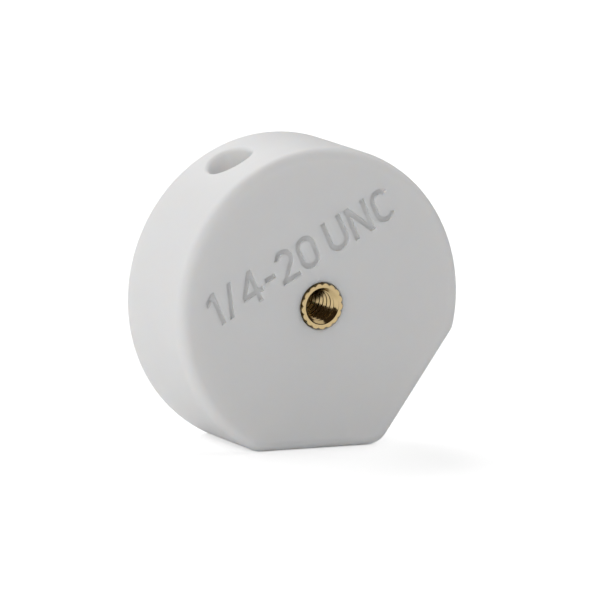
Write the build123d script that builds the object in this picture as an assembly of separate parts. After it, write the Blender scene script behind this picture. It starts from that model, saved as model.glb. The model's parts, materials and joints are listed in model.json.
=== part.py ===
from build123d import *
import math
import os

# A round puck that carries a rod on a tripod screw. It stands on one of its two flats.
# Millimetres. +Z is up, the thickness runs along Y and the threaded face looks towards -Y.
# The origin is on the lower flat, straight below the disc's centre, at mid-thickness.

# Puck
body_radius = 27.0
body_thickness = 20.5
flat_depth = 2.2  # how far each flat is cut in from the round rim
flat_half_angle = 27.7  # between each flat's normal and the line that bisects them
corner_radius = 4.4  # where the two flats meet
junction_radius = 4.4  # where a flat meets the round rim
edge_radius = 1.9  # round both faces

# Brass insert
insert_radius = 3.95
insert_length = 12.7
insert_proud = 0.3
insert_end_chamfer = 0.3
knurl_count = 17
knurl_clocking = 1.3  # degrees, to the first notch
knurl_depth = 0.27
knurl_half_angle = 43
relief_depth = 0.35
relief_width = 1.2
relief_middle = 6.5  # from the insert's outer end
pilot_length = 1.8
pilot_depth = 0.4

# 1/4-20 UNC thread. The bore is plain, at the minor radius that a tap drill leaves.
thread_minor_radius = 2.58
mouth_over_bore = 0.6  # countersink's radius over the bore's, at 45 degrees

# Pocket for the insert
insert_fit = 0.0  # radial clearance over the knurl
pocket_spare = 1.5  # depth behind the insert, for the end of a screw
lead_in_gap = 0.18  # the pocket's mouth is wider, to start the insert
lead_in_depth = 0.8

# Rod socket, opposite the corner between the flats
socket_radius = 4.0
socket_lip = 0.6
socket_offset = 1.5  # from mid-thickness towards the back
socket_floor = 5.05  # plastic between the socket's end and the insert's pocket

# Engraved thread size
legend_height = 6.0
legend_stroke = 0.95
legend_depth = 0.6
legend_above_insert = 2.75
legend_shift = 0.3  # along the line, away from the middle
legend_gap = 0.12  # between glyphs, and the other widths, as shares of the height
legend_word_gap = 0.22

# How far a cutter runs past the surface that it opens
overrun = 1.0

flat_distance = body_radius - flat_depth
pocket_radius = insert_radius + insert_fit
pocket_depth = insert_length - insert_proud + pocket_spare
mouth_radius = thread_minor_radius + mouth_over_bore
upwards = (Align.CENTER, Align.CENTER, Align.MIN)
front_face = Plane(origin=(0, -body_thickness / 2, 0), x_dir=(1, 0, 0), z_dir=(0, -1, 0))


def puck_outline():
    # The disc with its two flats, seen from the front, with the socket straight up.
    half_chord_angle = math.degrees(math.acos(flat_distance / body_radius))
    right = Vector(body_radius, 0).rotate(Axis.Z, -90 + flat_half_angle + half_chord_angle)
    left = Vector(-right.X, right.Y)
    corner = Vector(0, -flat_distance / math.cos(math.radians(flat_half_angle)))
    rim = ThreePointArc(right, (0, body_radius), left)
    outline = make_face(Wire([rim.edge(), Line(left, corner).edge(), Line(corner, right).edge()]))
    outline = fillet(outline.vertices().sort_by(Axis.Y)[0], corner_radius)
    junctions = outline.vertices().filter_by(lambda v: abs(abs(v.X) - right.X) < 1e-3)
    return fillet(junctions, junction_radius)


def puck():
    # The plastic puck, with the socket straight up.
    body = extrude(Plane.XZ * puck_outline(), body_thickness / 2, both=True)
    body = fillet(body.faces().filter_by(Axis.Y).edges(), edge_radius)
    body = socketed(body)
    pocket = Cylinder(pocket_radius, pocket_depth + overrun, align=upwards)
    body -= front_face * Pos(0, 0, -pocket_depth) * pocket
    lead_in = Cylinder(pocket_radius + lead_in_gap, lead_in_depth + overrun, align=upwards)
    body -= front_face * Pos(0, 0, -lead_in_depth) * lead_in
    baseline = pocket_radius + legend_above_insert
    engraving = extrude(legend(), legend_depth + overrun, dir=(0, 0, 1))
    return body - front_face * Pos(legend_shift, baseline, -legend_depth) * engraving


def socketed(body):
    # Drills the rod socket into the rim and rounds its mouth.
    depth = body_radius - pocket_radius - socket_floor
    bore = Cylinder(socket_radius, depth + overrun, align=upwards)
    known = body.edges()
    body -= Pos(0, socket_offset, body_radius - depth) * bore
    mouth = body.edges().filter_by(lambda edge: edge.bounding_box().min.Z > body_radius / 2)
    middles = [other @ 0.5 for other in known]
    mouth = [edge for edge in mouth if min((edge @ 0.5 - middle).length for middle in middles) > 1e-3]
    return fillet(mouth, socket_lip)


def stroke(*path):
    # Sweeps the cutter's width along lines and arcs that follow each other.
    return trace(Wire([piece.edge() for piece in path]), legend_stroke)


def clipped(glyph, width):
    # Trims slanted ends level with the glyph's box.
    return glyph & Pos(width / 2, legend_height / 2) * Rectangle(width, legend_height)


def digit_one(width):
    stem_x = width - legend_stroke / 2
    stem = stroke(Line((stem_x, 0), (stem_x, legend_height)))
    flag_top = (stem_x, legend_height - 0.4 * legend_stroke)
    flag = stroke(Line(flag_top, (-0.2 * legend_stroke, 0.72 * legend_height)))
    return clipped(stem + flag, width)


def slash(width):
    foot = [(0, 0), (legend_stroke, 0)]
    head = [(width, legend_height), (width - legend_stroke, legend_height)]
    return Polygon(*foot, *head, align=None)


def digit_four(width):
    stem_x = width - 1.3 * legend_stroke
    bar_y = 0.3 * legend_height
    stem = stroke(Line((stem_x, 0), (stem_x, legend_height)))
    bar = stroke(Line((0, bar_y), (width, bar_y)))
    slant = stroke(Line((stem_x + 0.1 * legend_stroke, legend_height), (0.3 * legend_stroke, bar_y)))
    return clipped(stem + bar + slant, width)


def dash(width):
    return stroke(Line((0, 0.43 * legend_height), (width, 0.43 * legend_height)))


def digit_two(width):
    bend = (width - legend_stroke) / 2
    top = CenterArc((width / 2, legend_height - legend_stroke / 2 - bend), bend, 165, -205)
    slant = Line(top @ 1, (0.6 * legend_stroke, 0.5 * legend_stroke))
    base = stroke(Line((0, legend_stroke / 2), (width, legend_stroke / 2)))
    return clipped(stroke(top, slant) + base, width)


def digit_zero(width):
    outer = SlotOverall(legend_height, width, rotation=90)
    inner = SlotOverall(legend_height - 2 * legend_stroke, width - 2 * legend_stroke, rotation=90)
    return Pos(width / 2, legend_height / 2) * (outer - inner)


def letter_u(width):
    bend = (width - legend_stroke) / 2
    bottom = CenterArc((width / 2, legend_stroke / 2 + bend), bend, 180, 180)
    left = Line(((bottom @ 0).X, legend_height), bottom @ 0)
    right = Line(bottom @ 1, ((bottom @ 1).X, legend_height))
    return stroke(left, bottom, right)


def letter_n(width):
    left = legend_stroke / 2
    right = width - legend_stroke / 2
    stems = stroke(Line((left, 0), (left, legend_height)))
    stems += stroke(Line((right, 0), (right, legend_height)))
    slant = stroke(Line((left, legend_height), (right, 0)))
    return clipped(stems + slant, width)


def letter_c(width):
    bend = (width - legend_stroke) / 2
    top = CenterArc((width / 2, legend_height - legend_stroke / 2 - bend), bend, 30, 150)
    bottom = CenterArc((width / 2, legend_stroke / 2 + bend), bend, 180, 150)
    return stroke(top, Line(top @ 1, bottom @ 0), bottom)


def legend():
    # The thread size as one sketch, its baseline on X and its middle on Y.
    glyphs = [
        (digit_one, 0.36),
        (slash, 0.48),
        (digit_four, 0.7),
        (dash, 0.36),
        (digit_two, 0.62),
        (digit_zero, 0.65),
        (None, legend_word_gap),
        (letter_u, 0.69),
        (letter_n, 0.72),
        (letter_c, 0.67),
    ]
    line = Sketch()
    x = 0.0
    for glyph, share in glyphs:
        width = share * legend_height
        if glyph is None:
            x += width
        else:
            line += Pos(x, 0) * glyph(width)
            x += width + legend_gap * legend_height
    return Pos(-(x - legend_gap * legend_height) / 2, 0) * line


def threaded_insert():
    # The brass insert along +Z, with z = 0 in the plane of the puck's face.
    bottom = insert_proud - insert_length
    insert = Pos(0, 0, bottom) * Cylinder(insert_radius, insert_length, align=upwards)
    insert = chamfer(insert.edges().sort_by(Axis.Z)[0], insert_end_chamfer)
    notch = knurl_notch(bottom)
    insert -= [place * notch for place in PolarLocations(0, knurl_count, start_angle=knurl_clocking)]
    relief_z = insert_proud - relief_middle - relief_width / 2
    insert -= Pos(0, 0, relief_z) * turned_groove(relief_depth, relief_width)
    insert -= Pos(0, 0, bottom) * turned_groove(pilot_depth, pilot_length)
    bore = Cylinder(thread_minor_radius, insert_length + 2 * overrun, align=upwards)
    insert -= Pos(0, 0, bottom - overrun) * bore
    for end_z, turn in ((insert_proud, 0), (bottom, 180)):
        insert -= Pos(0, 0, end_z) * Rot(turn, 0, 0) * thread_mouth()
    return insert


def knurl_notch(bottom):
    # One straight vee notch along the insert.
    half_width = 2 * knurl_depth * math.tan(math.radians(knurl_half_angle))
    outside = insert_radius + knurl_depth
    root = (insert_radius - knurl_depth, 0)
    vee = Polygon(root, (outside, -half_width), (outside, half_width), align=None)
    return Pos(0, 0, bottom - overrun) * extrude(vee, insert_length + 2 * overrun, dir=(0, 0, 1))


def turned_groove(depth, width):
    # A ring that turns the insert's outside down, starting at z = 0.
    ring = Cylinder(insert_radius + overrun, width, align=upwards)
    return ring - Cylinder(insert_radius - depth, width, align=upwards)


def thread_mouth():
    # The countersink that leads a screw into the thread, opening towards +Z at z = 0.
    depth = mouth_radius - thread_minor_radius
    cone = Cone(thread_minor_radius - overrun, mouth_radius + overrun, depth + 2 * overrun)
    return Pos(0, 0, -depth / 2) * cone


def standing(piece):
    # Turns a piece about the disc's axis until a flat is level, and lifts it onto that flat.
    return Pos(0, 0, flat_distance) * Rot(0, -flat_half_angle, 0) * piece


os.makedirs("parts", exist_ok=True)
export_step(standing(puck()), "parts/puck_body.step")
export_step(standing(front_face * threaded_insert()), "parts/threaded_insert.step")
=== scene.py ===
import bpy
import bmesh
import json
import math
from mathutils import Matrix, Vector


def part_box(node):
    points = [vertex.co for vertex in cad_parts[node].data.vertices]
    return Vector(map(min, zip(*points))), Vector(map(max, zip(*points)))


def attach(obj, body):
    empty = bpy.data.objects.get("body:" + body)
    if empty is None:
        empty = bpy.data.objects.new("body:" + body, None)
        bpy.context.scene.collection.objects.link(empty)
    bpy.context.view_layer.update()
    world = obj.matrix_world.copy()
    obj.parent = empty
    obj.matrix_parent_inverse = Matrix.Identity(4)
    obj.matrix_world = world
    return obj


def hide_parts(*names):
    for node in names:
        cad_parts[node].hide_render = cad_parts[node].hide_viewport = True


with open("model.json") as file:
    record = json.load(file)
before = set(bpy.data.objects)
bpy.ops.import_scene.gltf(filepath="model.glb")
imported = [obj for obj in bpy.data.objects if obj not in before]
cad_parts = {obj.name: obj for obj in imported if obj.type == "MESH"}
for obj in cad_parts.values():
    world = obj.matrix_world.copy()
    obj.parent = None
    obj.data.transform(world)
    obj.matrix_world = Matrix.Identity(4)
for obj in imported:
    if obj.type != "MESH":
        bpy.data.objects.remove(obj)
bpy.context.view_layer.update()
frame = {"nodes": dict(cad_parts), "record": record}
mounts = {mount["name"]: mount for mount in frame["record"]["mounts"]}

# The puck stands on a flat. Its middle lies on the thread's axis, half a thickness behind the face.
bodyLow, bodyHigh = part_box("puck_body")
threadSpot = Vector(mounts["tripod_thread"]["pos_m"])
puckCentre = Vector((threadSpot.x, (bodyLow[1] + bodyHigh[1]) / 2, threadSpot.z))
print("stage: frame loaded")

camera = {
    "azimuth": -29.16,  # degrees round from the front, towards the left
    "elevation": 10.02,
    "roll": 2.29,
    "distance": 1.4257,
    "lens": 494.7,
    "aimRight": 0.00214,  # the puck stands a little left of the view's middle
    "aimUp": -0.00158,
}


def makeCamera(spec):
    azimuth = math.radians(spec["azimuth"])
    elevation = math.radians(spec["elevation"])
    back = Vector((math.sin(azimuth) * math.cos(elevation),
                   -math.cos(azimuth) * math.cos(elevation),
                   math.sin(elevation)))
    right = Vector((math.cos(azimuth), math.sin(azimuth), 0))
    roll = Matrix.Rotation(math.radians(spec["roll"]), 3, back)
    right = roll @ right
    up = back.cross(right)
    data = bpy.data.cameras.new("camera")
    data.sensor_width = 36
    data.lens = spec["lens"]
    data.clip_start = 0.05
    data.clip_end = 20
    item = bpy.data.objects.new("camera", data)
    bpy.context.scene.collection.objects.link(item)
    spot = puckCentre + right * spec["aimRight"] + up * spec["aimUp"] + back * spec["distance"]
    turn = Matrix((right, up, back)).transposed()
    item.matrix_world = Matrix.Translation(spot) @ turn.to_4x4()
    bpy.context.scene.camera = item


makeCamera(camera)

studio = {
    "floorSize": 6.0,
    "floorColor": (0.9, 0.9, 0.9),
    "floorRoughness": 0.9,
    "floorGlow": 0.5,
    "world": 0.04,
    "worldColor": (1, 0.7, 0.45),
    "lightSize": 1.4,
    "lightDistance": 1.9,
    "lights": {  # the way to each softbox, and its power in watts
        "backLeft": ((-0.7, 0.5, 0.5), 10.9),
        "backTop": ((0, 0.65, 0.75), 14.9),
        "topRight": ((0.75, 0, 0.65), 13.5),
        "frontLeft": ((-0.65, -0.65, 0.4), 13.9),
        "frontRight": ((0.475, -0.6, 0.65), 4.0),
    },
    # Two lights would burn out the bore, and a weak one is there for its countersink alone
    "brassReach": {"frontLeft": "EXCLUDE", "topRight": "EXCLUDE", "frontRight": "INCLUDE"},
}


def makeLight(name, way, power, spec):
    data = bpy.data.lights.new(name, "AREA")
    data.shape = "DISK"
    data.size = spec["lightSize"]
    data.energy = power
    item = bpy.data.objects.new(name, data)
    bpy.context.scene.collection.objects.link(item)
    item.location = Vector(way).normalized() * spec["lightDistance"]
    item.rotation_euler = (item.location - puckCentre).to_track_quat("Z", "Y").to_euler()


def limitLight(light, item, state):
    # The light either passes this piece by or reaches nothing else
    reach = bpy.data.collections.new(light + "Reach")
    reach.objects.link(item)
    reach.collection_objects[0].light_linking.link_state = state
    bpy.data.objects[light].light_linking.receiver_collection = reach


def makeFloor(spec):
    # White paper. Its glow whitens the paper itself and shows in the brass, and lights nothing else.
    sheet = bmesh.new()
    bmesh.ops.create_grid(sheet, x_segments=1, y_segments=1, size=spec["floorSize"] / 2)
    mesh = bpy.data.meshes.new("floor")
    sheet.to_mesh(mesh)
    sheet.free()
    floor = bpy.data.objects.new("floor", mesh)
    bpy.context.scene.collection.objects.link(floor)
    paper = bpy.data.materials.new("paper")
    paper.use_nodes = True
    shader = paper.node_tree.nodes["Principled BSDF"]
    shader.inputs["Base Color"].default_value = (*spec["floorColor"], 1)
    shader.inputs["Roughness"].default_value = spec["floorRoughness"]
    shader.inputs["Emission Color"].default_value = (1, 1, 1, 1)
    shader.inputs["Emission Strength"].default_value = spec["floorGlow"]
    mesh.materials.append(paper)
    litByGlow = bpy.data.collections.new("litByGlow")
    litByGlow.objects.link(floor)
    floor.light_linking.receiver_collection = litByGlow


def makeStudio(spec):
    world = bpy.data.worlds.new("studio")
    world.use_nodes = True
    backdrop = world.node_tree.nodes["Background"]
    backdrop.inputs["Color"].default_value = (*spec["worldColor"], 1)
    backdrop.inputs["Strength"].default_value = spec["world"]
    world.cycles_visibility.diffuse = False  # the dim room only shows in the brass
    bpy.context.scene.world = world
    for name, (way, power) in spec["lights"].items():
        makeLight(name, way, power, spec)
    makeFloor(spec)
    bpy.context.scene.view_settings.view_transform = "Standard"


makeStudio(studio)
print("stage: camera and lights")

plastic = {
    "light": (0.91, 0.91, 0.91),
    "dark": (0.89, 0.89, 0.89),
    "roughness": (0.5, 0.6),
    "grainScale": 9000,
    "grainDetail": 3,
    "grainDepth": 0.000012,
    "mottleScale": 160,
    "mottleDetail": 4,
    "glow": 0.7,  # share of light that scatters under the surface
    "glowDepth": 0.0025,
    "glowTint": (1, 0.9, 0.8),
    # painted shade: the engraving's floor is darkened by this factor, standing in for the shade inside
    # the strokes
    "engravedPaintedShade": 0.87,
    "engravedFrom": 0.0003,  # behind the face
    "engravedTo": 0.001,
    "engravedReach": 0.0222,  # from the insert's axis
}


def paintedEngravingShadeMask(material, place, spec, spot):
    # Painted shade mask: one inside the engraving, a little behind the face and well inside the rim,
    # where the darkened colour stands in for the shade inside the strokes
    nodes = material.node_tree.nodes
    link = material.node_tree.links.new
    centred = nodes.new("ShaderNodeVectorMath")
    centred.operation = "SUBTRACT"
    centred.inputs[1].default_value = spot
    link(place.outputs["Object"], centred.inputs[0])
    parts = nodes.new("ShaderNodeSeparateXYZ")
    link(centred.outputs["Vector"], parts.inputs["Vector"])
    across = nodes.new("ShaderNodeCombineXYZ")
    link(parts.outputs["X"], across.inputs["X"])
    link(parts.outputs["Z"], across.inputs["Z"])
    reach = nodes.new("ShaderNodeVectorMath")
    reach.operation = "LENGTH"
    link(across.outputs["Vector"], reach.inputs[0])
    limits = (("GREATER_THAN", parts.outputs["Y"], spec["engravedFrom"]),
              ("LESS_THAN", parts.outputs["Y"], spec["engravedTo"]),
              ("LESS_THAN", reach.outputs["Value"], spec["engravedReach"]))
    mask = None
    for operation, value, limit in limits:
        test = nodes.new("ShaderNodeMath")
        test.operation = operation
        test.inputs[1].default_value = limit
        link(value, test.inputs[0])
        if mask is None:
            mask = test
        else:
            both = nodes.new("ShaderNodeMath")
            both.operation = "MULTIPLY"
            link(mask.outputs["Value"], both.inputs[0])
            link(test.outputs["Value"], both.inputs[1])
            mask = both
    return mask.outputs["Value"]


def makePlastic(spec, spot):
    material = bpy.data.materials.new("puckPlastic")
    material.use_nodes = True
    nodes = material.node_tree.nodes
    link = material.node_tree.links.new
    shader = nodes["Principled BSDF"]
    shader.inputs["Subsurface Weight"].default_value = spec["glow"]
    shader.inputs["Subsurface Radius"].default_value = spec["glowTint"]
    shader.inputs["Subsurface Scale"].default_value = spec["glowDepth"]
    place = nodes.new("ShaderNodeTexCoord")
    mottle = nodes.new("ShaderNodeTexNoise")
    mottle.inputs["Scale"].default_value = spec["mottleScale"]
    mottle.inputs["Detail"].default_value = spec["mottleDetail"]
    link(place.outputs["Object"], mottle.inputs["Vector"])
    tint = nodes.new("ShaderNodeMix")
    tint.data_type = "RGBA"
    tint.inputs["A"].default_value = (*spec["dark"], 1)
    tint.inputs["B"].default_value = (*spec["light"], 1)
    link(mottle.outputs["Fac"], tint.inputs["Factor"])
    # painted shade: the base colour is multiplied darker inside the engraving
    shade = nodes.new("ShaderNodeMix")
    shade.data_type = "RGBA"
    shade.blend_type = "MULTIPLY"
    shade.inputs["B"].default_value = (*[spec["engravedPaintedShade"]] * 3, 1)
    link(paintedEngravingShadeMask(material, place, spec, spot), shade.inputs["Factor"])
    link(tint.outputs["Result"], shade.inputs["A"])
    link(shade.outputs["Result"], shader.inputs["Base Color"])
    grain = nodes.new("ShaderNodeTexNoise")
    grain.inputs["Scale"].default_value = spec["grainScale"]
    grain.inputs["Detail"].default_value = spec["grainDetail"]
    link(place.outputs["Object"], grain.inputs["Vector"])
    bump = nodes.new("ShaderNodeBump")
    bump.inputs["Strength"].default_value = 1
    bump.inputs["Distance"].default_value = spec["grainDepth"]
    link(grain.outputs["Fac"], bump.inputs["Height"])
    link(bump.outputs["Normal"], shader.inputs["Normal"])
    rough = nodes.new("ShaderNodeMapRange")
    rough.inputs["To Min"].default_value, rough.inputs["To Max"].default_value = spec["roughness"]
    link(mottle.outputs["Fac"], rough.inputs["Value"])
    link(rough.outputs["Result"], shader.inputs["Roughness"])
    return material


insertLow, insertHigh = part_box("threaded_insert")
insertSpec = {  # in millimetres, heights along the axis from the puck's face
    "radius": (insertHigh[2] - puckCentre.z) * 1000,  # over the knurls
    "length": (insertHigh[1] - insertLow[1]) * 1000,
    "proud": (bodyLow[1] - insertLow[1]) * 1000,
    "knurls": 17,
    "facets": 12,  # round the rim, for each knurl
    "notchDepth": 0.27,
    "notchSharpness": 1.3,
    "clocking": 29.0,  # degrees that the knurls are turned
    "rimRound": 0.07,
    "reliefRadius": 3.6,
    "reliefFrom": -6.8,
    "reliefTo": -5.6,
    "pilotRadius": 3.55,
    "pilotLength": 1.8,
    "mouthRadius": 3.18,
    "threadMajor": 3.19,
    "threadMinor": 2.58,
    "pitch": 1.27,
    "crestFlat": 0.25,  # shares of the pitch
    "rootFlat": 0.125,
    "threadSegments": 72,  # for each turn
    "turnedSegments": 144,
    "threadPhase": -96.0,  # degrees
    "overrun": 1.0,
    "merge": 0.0001,
    "sharpAngle": 18,
}


def addObject(name, shape):
    mesh = bpy.data.meshes.new(name)
    shape.to_mesh(mesh)
    shape.free()
    item = bpy.data.objects.new(name, mesh)
    bpy.context.scene.collection.objects.link(item)
    return item


def knurledBlank(spec):
    # A capped circle whose rim dips at each knurl, drawn out to the insert's length
    shape = bmesh.new()
    around = spec["knurls"] * spec["facets"]
    bmesh.ops.create_circle(shape, cap_ends=True, radius=spec["radius"], segments=around)
    for vert in shape.verts:
        turn = math.atan2(vert.co.y, vert.co.x) * spec["knurls"] / 2
        dip = spec["notchDepth"] * (1 - abs(math.sin(turn))) ** spec["notchSharpness"]
        vert.co *= 1 - dip / spec["radius"]
    bottom = spec["proud"] - spec["length"]
    bmesh.ops.translate(shape, vec=(0, 0, bottom), verts=shape.verts)
    drawn = bmesh.ops.extrude_face_region(shape, geom=shape.faces[:])
    top = [part for part in drawn["geom"] if isinstance(part, bmesh.types.BMVert)]
    bmesh.ops.translate(shape, vec=(0, 0, spec["length"]), verts=top)
    bmesh.ops.recalc_face_normals(shape, faces=shape.faces)
    rims = [edge for edge in shape.edges if abs(edge.verts[0].co.z - edge.verts[1].co.z) < spec["merge"]]
    bmesh.ops.bevel(shape, geom=rims, offset=spec["rimRound"], offset_type="OFFSET", segments=2,
                    profile=0.5, affect="EDGES", material=-1)
    return shape


def turned(profile, spec):
    # Spins a closed outline of (radius, height) once round the axis
    shape = bmesh.new()
    verts = [shape.verts.new((radius, 0, height)) for radius, height in profile]
    edges = [shape.edges.new(pair) for pair in zip(verts, verts[1:] + verts[:1])]
    bmesh.ops.spin(shape, geom=verts + edges, cent=(0, 0, 0), axis=(0, 0, 1), angle=math.tau,
                   steps=spec["turnedSegments"], use_merge=True)
    bmesh.ops.remove_doubles(shape, verts=shape.verts, dist=spec["merge"])
    bmesh.ops.recalc_face_normals(shape, faces=shape.faces)
    return shape


def ring(inner, outer, low, high, spec):
    return turned([(inner, low), (outer, low), (outer, high), (inner, high)], spec)


def mouthCone(spec, height, facing):
    # The countersink's cutter: as deep as the mouth is wider than the thread's crest
    depth = spec["mouthRadius"] - spec["threadMinor"]
    run = spec["overrun"]
    turn = Matrix.Rotation(0 if facing > 0 else math.pi, 3, "X")
    shape = bmesh.new()
    bmesh.ops.create_cone(shape, cap_ends=True, segments=spec["turnedSegments"], depth=depth + 2 * run,
                          radius1=spec["threadMinor"] - run, radius2=spec["mouthRadius"] + run)
    bmesh.ops.translate(shape, vec=(0, 0, -depth / 2), verts=shape.verts)
    bmesh.ops.rotate(shape, cent=(0, 0, 0), matrix=turn, verts=shape.verts)
    bmesh.ops.translate(shape, vec=(0, 0, height), verts=shape.verts)
    return shape


def threadTap(spec):
    # One pitch of the thread's outline, spun along the axis so that each turn meets the last
    pitch = spec["pitch"]
    crest = pitch * spec["crestFlat"]
    root = pitch * spec["rootFlat"]
    flank = (pitch - crest - root) / 2
    low = spec["proud"] - spec["length"] - spec["overrun"]
    high = spec["proud"] + spec["overrun"]
    turns = math.ceil((high - low) / pitch) + 2
    minor, major = spec["threadMinor"], spec["threadMajor"]
    outline = [(minor, 0), (minor, crest), (major, crest + flank)]
    outline += [(major, crest + flank + root), (minor, pitch)]
    shape = bmesh.new()
    verts = [shape.verts.new((radius, 0, low - pitch + height)) for radius, height in outline]
    edges = [shape.edges.new(pair) for pair in zip(verts, verts[1:])]
    steps = spec["threadSegments"]
    bmesh.ops.spin(shape, geom=verts + edges, cent=(0, 0, 0), axis=(0, 0, 1), dvec=(0, 0, pitch / steps),
                   angle=math.tau * turns, steps=steps * turns)
    bmesh.ops.remove_doubles(shape, verts=shape.verts, dist=spec["merge"])
    for height, facing in ((low, -1), (high, 1)):
        cut = bmesh.ops.bisect_plane(shape, geom=shape.verts[:] + shape.edges[:] + shape.faces[:],
                                     plane_co=(0, 0, height), plane_no=(0, 0, facing), clear_outer=True)
        loop = [part for part in cut["geom_cut"] if isinstance(part, bmesh.types.BMEdge)]
        bmesh.ops.edgeloop_fill(shape, edges=loop)
    bmesh.ops.recalc_face_normals(shape, faces=shape.faces)
    bmesh.ops.rotate(shape, cent=(0, 0, 0), verts=shape.verts,
                     matrix=Matrix.Rotation(math.radians(spec["threadPhase"]), 3, "Z"))
    return shape


def cutAway(item, cutters):
    for cutter in cutters:
        cut = item.modifiers.new("cut", "BOOLEAN")
        cut.operation = "DIFFERENCE"
        cut.solver = "EXACT"
        cut.object = cutter
    graph = bpy.context.evaluated_depsgraph_get()
    item.data = bpy.data.meshes.new_from_object(item.evaluated_get(graph))
    item.modifiers.clear()
    for cutter in cutters:
        bpy.data.objects.remove(cutter)


def makeInsert(spec, spot):
    item = addObject("brassInsert", knurledBlank(spec))
    bottom = spec["proud"] - spec["length"]
    beyond = spec["radius"] + spec["overrun"]
    cutters = [
        ring(spec["reliefRadius"], beyond, spec["reliefFrom"], spec["reliefTo"], spec),
        ring(spec["pilotRadius"], beyond, bottom - spec["overrun"], bottom + spec["pilotLength"], spec),
        mouthCone(spec, spec["proud"], 1),
        mouthCone(spec, bottom, -1),
        threadTap(spec),
    ]
    cutAway(item, [addObject("cutter", shape) for shape in cutters])
    shape = bmesh.new()
    shape.from_mesh(item.data)
    bmesh.ops.remove_doubles(shape, verts=shape.verts, dist=spec["merge"])
    bmesh.ops.rotate(shape, cent=(0, 0, 0), verts=shape.verts,
                     matrix=Matrix.Rotation(math.radians(spec["clocking"]), 3, "Z"))
    outward = Matrix(((1, 0, 0), (0, 0, -1), (0, 1, 0)))  # the insert's axis looks towards -Y
    placed = Matrix.Translation(spot) @ outward.to_4x4() @ Matrix.Scale(0.001, 4)
    bmesh.ops.transform(shape, matrix=placed, space=Matrix(), verts=shape.verts)
    for face in shape.faces:
        face.smooth = True
    shape.to_mesh(item.data)
    shape.free()
    item.data.set_sharp_from_angle(angle=math.radians(spec["sharpAngle"]))
    return item


brass = {
    "yellow": (0.46, 0.36, 0.17),
    "pink": (0.55, 0.41, 0.24),
    "roughness": (0.11, 0.19),
    "mottleScale": 900,
    "mottleDetail": 3,
    "latheScale": 2600,  # the lathe's feed marks
    "latheWobble": 1.5,
    "latheDepth": 0.0000012,
}


def makeBrass(spec, spot):
    material = bpy.data.materials.new("turnedBrass")
    material.use_nodes = True
    nodes = material.node_tree.nodes
    link = material.node_tree.links.new
    shader = nodes["Principled BSDF"]
    shader.inputs["Metallic"].default_value = 1
    place = nodes.new("ShaderNodeTexCoord")
    centred = nodes.new("ShaderNodeMapping")
    centred.inputs["Location"].default_value = -spot
    link(place.outputs["Object"], centred.inputs["Vector"])
    mottle = nodes.new("ShaderNodeTexNoise")
    mottle.inputs["Scale"].default_value = spec["mottleScale"]
    mottle.inputs["Detail"].default_value = spec["mottleDetail"]
    link(centred.outputs["Vector"], mottle.inputs["Vector"])
    tint = nodes.new("ShaderNodeMix")
    tint.data_type = "RGBA"
    tint.inputs["A"].default_value = (*spec["yellow"], 1)
    tint.inputs["B"].default_value = (*spec["pink"], 1)
    link(mottle.outputs["Fac"], tint.inputs["Factor"])
    link(tint.outputs["Result"], shader.inputs["Base Color"])
    rough = nodes.new("ShaderNodeMapRange")
    rough.inputs["To Min"].default_value, rough.inputs["To Max"].default_value = spec["roughness"]
    link(mottle.outputs["Fac"], rough.inputs["Value"])
    link(rough.outputs["Result"], shader.inputs["Roughness"])
    lathe = nodes.new("ShaderNodeTexWave")
    lathe.wave_type = "RINGS"
    lathe.rings_direction = "Y"
    lathe.inputs["Scale"].default_value = spec["latheScale"]
    lathe.inputs["Distortion"].default_value = spec["latheWobble"]
    link(centred.outputs["Vector"], lathe.inputs["Vector"])
    bump = nodes.new("ShaderNodeBump")
    bump.inputs["Strength"].default_value = 1
    bump.inputs["Distance"].default_value = spec["latheDepth"]
    link(lathe.outputs["Fac"], bump.inputs["Height"])
    link(bump.outputs["Normal"], shader.inputs["Normal"])
    return material


facePoint = Vector((puckCentre.x, bodyLow[1], puckCentre.z))  # where the insert's axis leaves the puck
puck = frame["nodes"]["puck_body"]
puck.data.materials.clear()
puck.data.materials.append(makePlastic(plastic, facePoint))
print("stage: plastic")

insert = makeInsert(insertSpec, facePoint)
insert.data.materials.append(makeBrass(brass, facePoint))
bpy.data.collections["litByGlow"].objects.link(insert)
for light, state in studio["brassReach"].items():
    limitLight(light, insert, state)
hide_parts("threaded_insert")
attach(insert, "root")
print("stage: brass insert")
